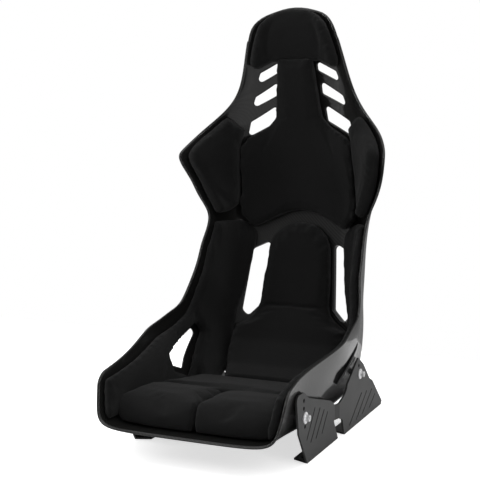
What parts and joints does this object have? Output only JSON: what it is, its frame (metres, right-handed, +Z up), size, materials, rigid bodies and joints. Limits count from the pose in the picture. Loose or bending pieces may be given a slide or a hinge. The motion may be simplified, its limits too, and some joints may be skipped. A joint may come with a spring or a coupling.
{
  "type": "racing seat",
  "caption": "Fixed-back bucket seat: glossy laminated shell with harness slots, separate fabric pads and floor side brackets.",
  "frame": {"origin": "centre of the footprint, on the floor plane under the bracket flanges", "axes": "+Z up, the seat faces -Y, +X is to the right as seen facing the front of the seat; X = 0 is its plane of symmetry"},
  "size_m": [0.5124, 0.6682, 0.9599],
  "materials": {
    "shell_gloss": "clear-coated black twill laminate",
    "pad_cover": "black knitted cover over foam",
    "cushion_cover": "black hard-wearing cover over foam",
    "hook_strip": "hook-and-loop tape",
    "bracket_paint": "satin dark grey powder coat on steel",
    "steel_insert": "plain machined steel",
    "bright_steel": "bright zinc-plated steel"
  },
  "bodies": {
    "root": {"shell": "shell_gloss", "head_pad": "pad_cover", "upper_back_pad": "pad_cover", "lumbar_pad": "pad_cover", "shoulder_pad_left": "pad_cover", "shoulder_pad_right": "pad_cover", "side_bolster_left": "pad_cover", "side_bolster_right": "pad_cover", "thigh_cushion_left": "cushion_cover", "thigh_cushion_right": "cushion_cover", "seat_base_pad": "cushion_cover", "head_pad_strip": "hook_strip", "upper_back_strip": "hook_strip", "lumbar_strip": "hook_strip", "seat_base_strip": "hook_strip", "shoulder_strip_left": "hook_strip", "shoulder_strip_right": "hook_strip", "thigh_strip_left": "hook_strip", "thigh_strip_right": "hook_strip", "bolster_strip_left": "hook_strip", "bolster_strip_right": "hook_strip", "side_bracket_left": "bracket_paint", "side_bracket_right": "bracket_paint", "shell_inserts_left": "steel_insert", "shell_inserts_right": "steel_insert", "mount_washers_left": "bright_steel", "mount_washers_right": "bright_steel", "mount_bolts_left": "bright_steel", "mount_bolts_right": "bright_steel"}
  },
  "joints": []
}
